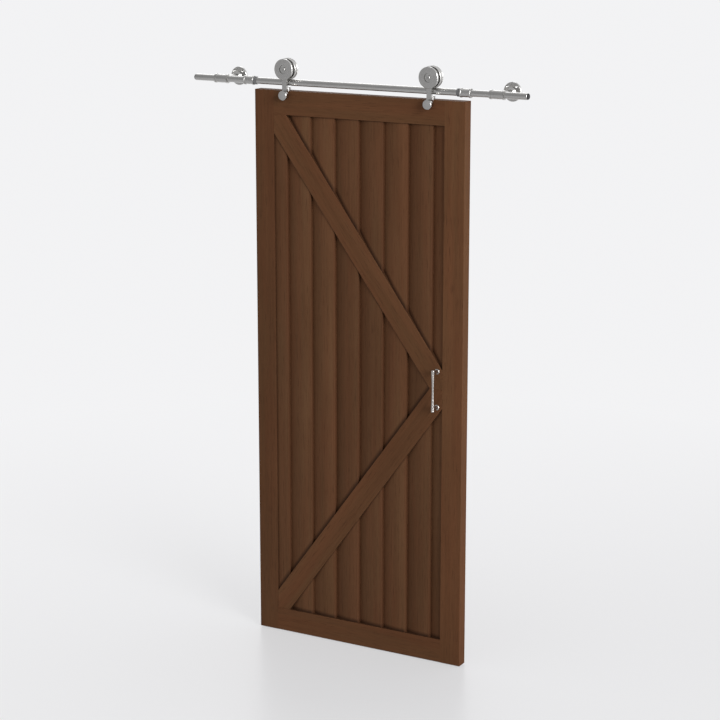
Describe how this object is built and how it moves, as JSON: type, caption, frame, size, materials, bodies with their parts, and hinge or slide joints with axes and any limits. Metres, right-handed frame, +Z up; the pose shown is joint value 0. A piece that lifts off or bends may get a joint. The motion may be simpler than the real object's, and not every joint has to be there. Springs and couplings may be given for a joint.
{
  "type": "sliding barn door",
  "caption": "Framed timber barn door leaf with bevelled boards and diagonal braces, hung by grooved wheels from a round steel wall rail with brackets, stops and a pull handle.",
  "frame": {"origin": "bottom centre of the whole: middle of the rail in X, middle of the depth in Y, lower edge of the leaf in Z", "axes": "+Z up, +X to the right along the rail, -Y is the front, +Y points at the wall"},
  "size_m": [1.448, 0.1758, 2.314],
  "materials": {
    "frame_wood": "stained walnut tone, satin lacquer",
    "board_wood": "stained walnut tone, satin lacquer",
    "brace_wood": "stained walnut tone, satin lacquer",
    "tube_steel": "satin stainless tube",
    "bright_steel": "satin stainless steel, turned",
    "wheel_steel": "satin stainless steel, turned",
    "fastener_steel": "plain stainless fasteners",
    "rubber": "black rubber",
    "plug_plastic": "dark grey plastic",
    "bush_plastic": "pale bearing plastic"
  },
  "bodies": {
    "track": {"bracket_grub_screws": "fastener_steel", "bracket_left": "bright_steel", "bracket_right": "bright_steel", "bumper_left": "rubber", "bumper_right": "rubber", "rail_plug_left": "plug_plastic", "rail_plug_right": "plug_plastic", "rail_tube": "tube_steel", "stop_grub_screws": "fastener_steel", "stop_left": "bright_steel", "stop_right": "bright_steel"},
    "door": {"anti_jump_disc_left": "bright_steel", "anti_jump_disc_right": "bright_steel", "anti_jump_screws": "fastener_steel", "axle_bolt_left": "fastener_steel", "axle_bolt_right": "fastener_steel", "axle_nuts": "fastener_steel", "axle_sleeve_left": "fastener_steel", "axle_sleeve_right": "fastener_steel", "axle_washers": "fastener_steel", "board_1": "board_wood", "board_2": "board_wood", "board_3": "board_wood", "board_4": "board_wood", "board_5": "board_wood", "board_6": "board_wood", "board_7": "board_wood", "board_8": "board_wood", "bottom_rail": "frame_wood", "cap_left": "bright_steel", "cap_right": "bright_steel", "clamp_bolts": "fastener_steel", "clamp_boss_left": "bright_steel", "clamp_boss_right": "bright_steel", "clamp_washers": "fastener_steel", "handle_bolts": "fastener_steel", "left_stile": "frame_wood", "lower_brace": "brace_wood", "pull_handle": "bright_steel", "right_stile": "frame_wood", "strap_left": "bright_steel", "strap_right": "bright_steel", "strap_spacer_left": "bright_steel", "strap_spacer_right": "bright_steel", "top_rail": "frame_wood", "upper_brace": "brace_wood"},
    "wheel_left": {"wheel_left": "wheel_steel", "wheel_bush_left": "bush_plastic"},
    "wheel_right": {"wheel_right": "wheel_steel", "wheel_bush_right": "bush_plastic"}
  },
  "joints": [
    {"name": "door_slide", "type": "slide", "parent": "track", "child": "door", "axis": [1, 0, 0], "range_m": [-0.1218, 0.0918]},
    {"name": "wheel_left_spin", "type": "hinge", "parent": "door", "child": "wheel_left", "pos_m": [-0.2985, -0.0381, 2.2725], "axis": [0, 1, 0], "continuous": true},
    {"name": "wheel_right_spin", "type": "hinge", "parent": "door", "child": "wheel_right", "pos_m": [0.3285, -0.0381, 2.2725], "axis": [0, 1, 0], "continuous": true}
  ],
  "couplings": [
    {"joint": "wheel_left_spin", "follows": "door_slide", "rad_per_m": 26.316},
    {"joint": "wheel_right_spin", "follows": "door_slide", "rad_per_m": 26.316}
  ]
}
